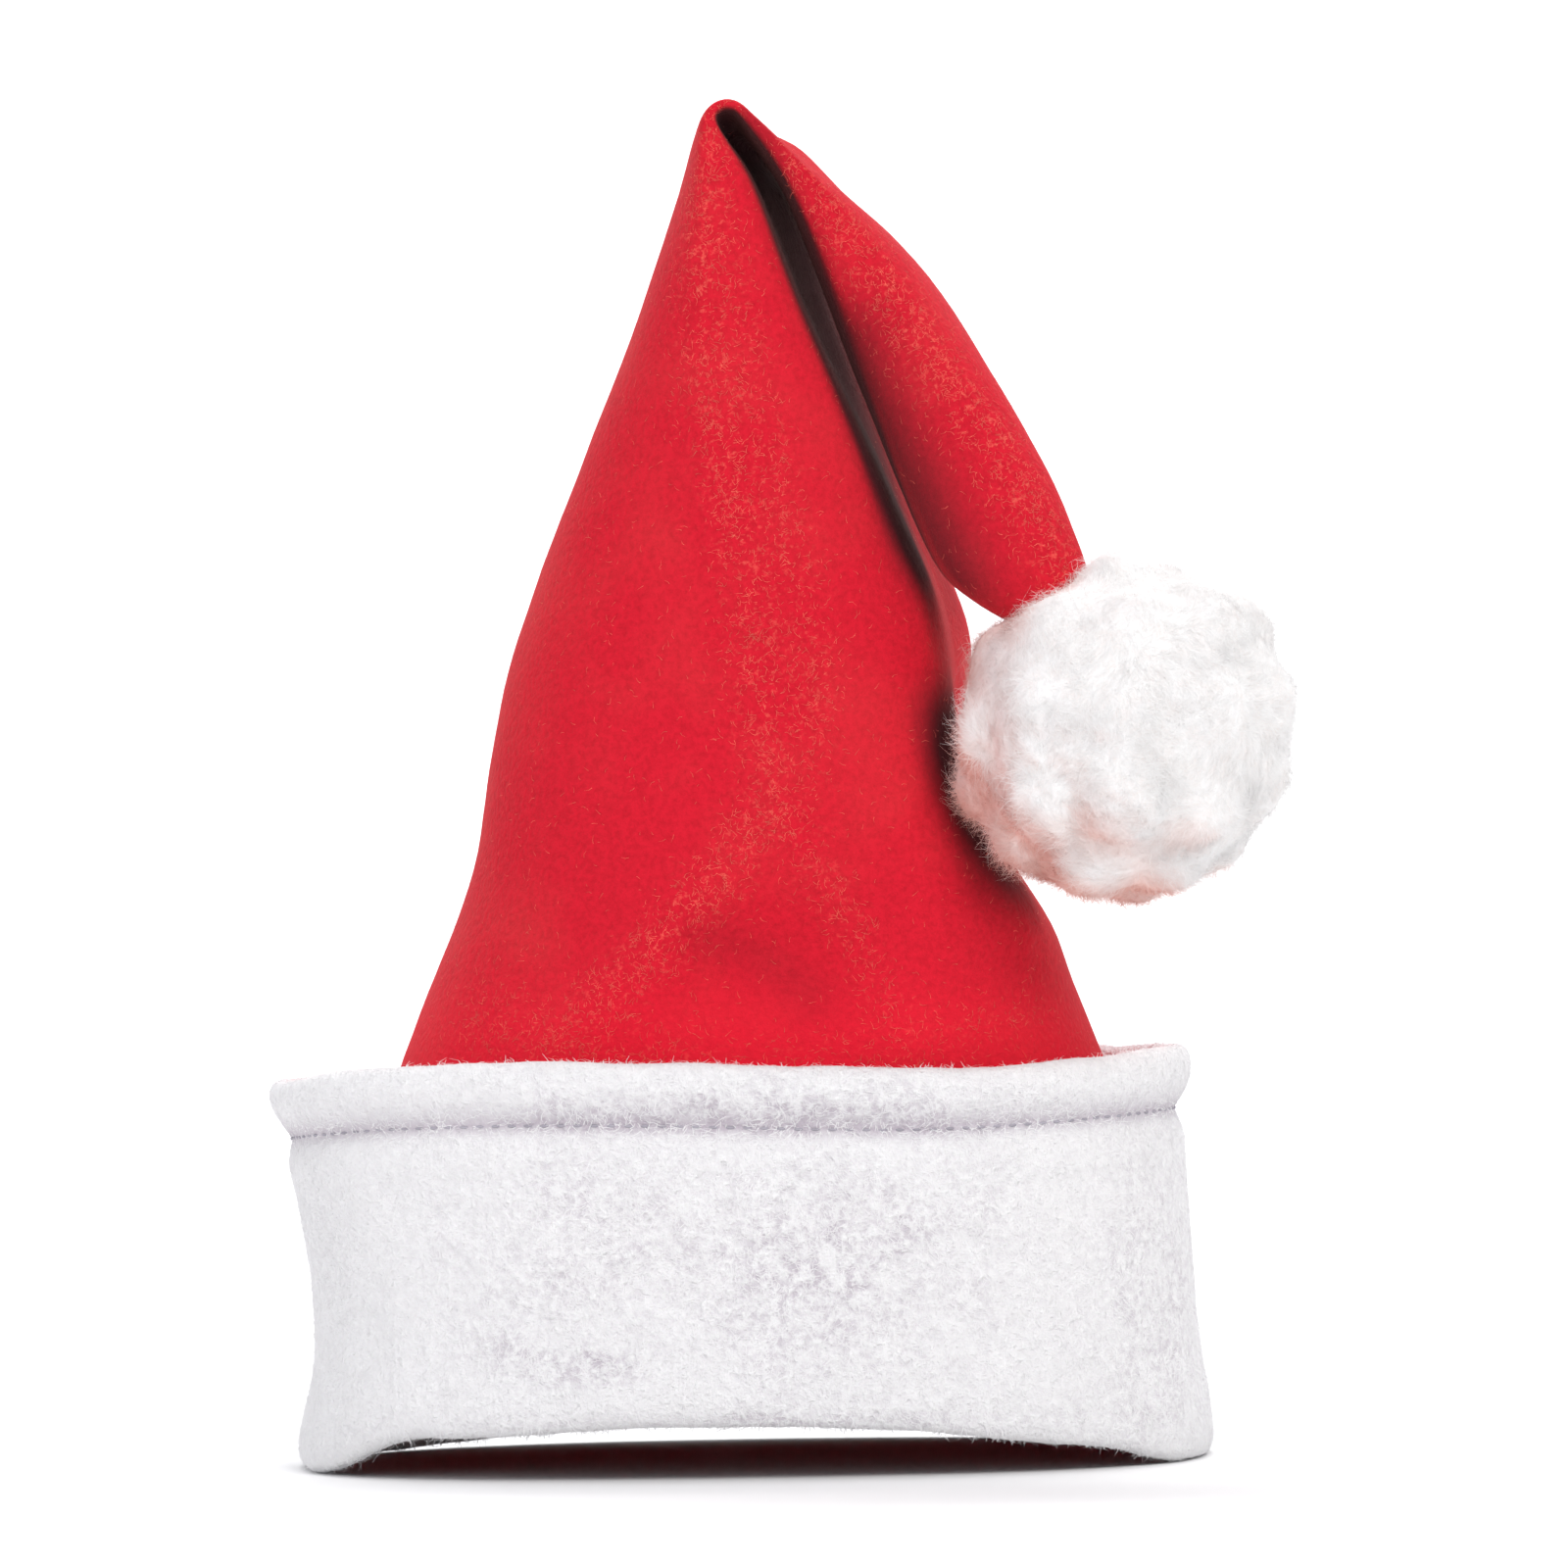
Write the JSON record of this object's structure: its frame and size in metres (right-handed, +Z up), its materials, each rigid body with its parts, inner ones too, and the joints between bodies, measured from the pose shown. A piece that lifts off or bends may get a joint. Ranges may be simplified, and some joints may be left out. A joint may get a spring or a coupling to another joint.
{
  "type": "santa hat",
  "caption": "Red felt Santa hat standing on its turned-up white plush cuff, its tip folded over to one side and ending in a fleece pompom",
  "frame": {"origin": "centre of the head opening, on the surface that the cuff rests on", "axes": "+Z up, +X to the side where the folded tail and its pompom hang, -Y to the front"},
  "size_m": [0.2463, 0.1734, 0.3253],
  "materials": {
    "red_felt": "matt brushed felt",
    "white_plush": "short soft nap",
    "white_fleece": "fluffy loose fibres"
  },
  "bodies": {
    "root": {"crown_front": "red_felt", "crown_back": "red_felt", "cuff": "white_plush", "pompom": "white_fleece"}
  },
  "joints": []
}
